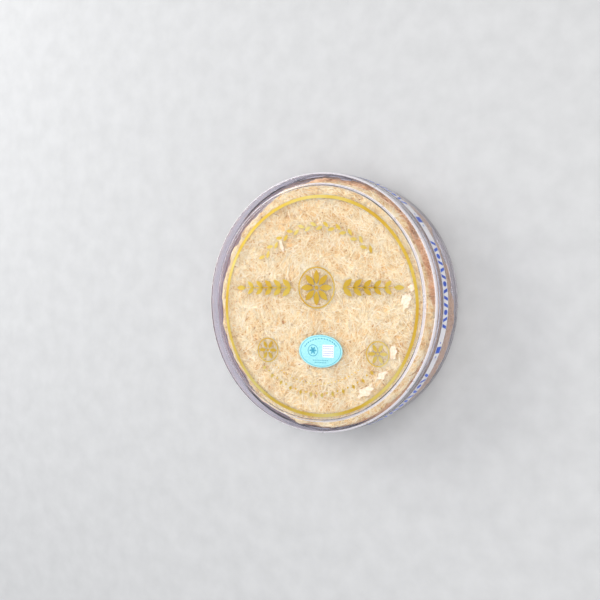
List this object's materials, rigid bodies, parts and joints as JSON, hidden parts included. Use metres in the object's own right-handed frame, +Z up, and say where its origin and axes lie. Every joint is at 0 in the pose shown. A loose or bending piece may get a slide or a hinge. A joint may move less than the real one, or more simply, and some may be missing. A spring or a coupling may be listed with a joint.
{
  "type": "boxed edible bird's nest",
  "caption": "Clear round box with a lid, filled with a pressed mass of cream edible bird's nest strands and sealed round its side with a printed film.",
  "frame": {"origin": "under the centre of the round box, on the surface it stands on", "axes": "+Z up out of the lid, +Y towards the top of the lid's print, +X towards its right-hand side"},
  "size_m": [0.2014, 0.2014, 0.0506],
  "materials": {
    "clear_plastic": "clear glossy moulded polystyrene",
    "nest_strands": "dry matt cream strands, pressed together",
    "sealing_film": "thin film with a whitish and blue print",
    "label_paper": "pale blue satin label"
  },
  "bodies": {
    "root": {"box_base": "clear_plastic", "lid": "clear_plastic", "nest": "nest_strands", "seal_tape": "sealing_film", "oval_sticker": "label_paper"}
  },
  "joints": []
}
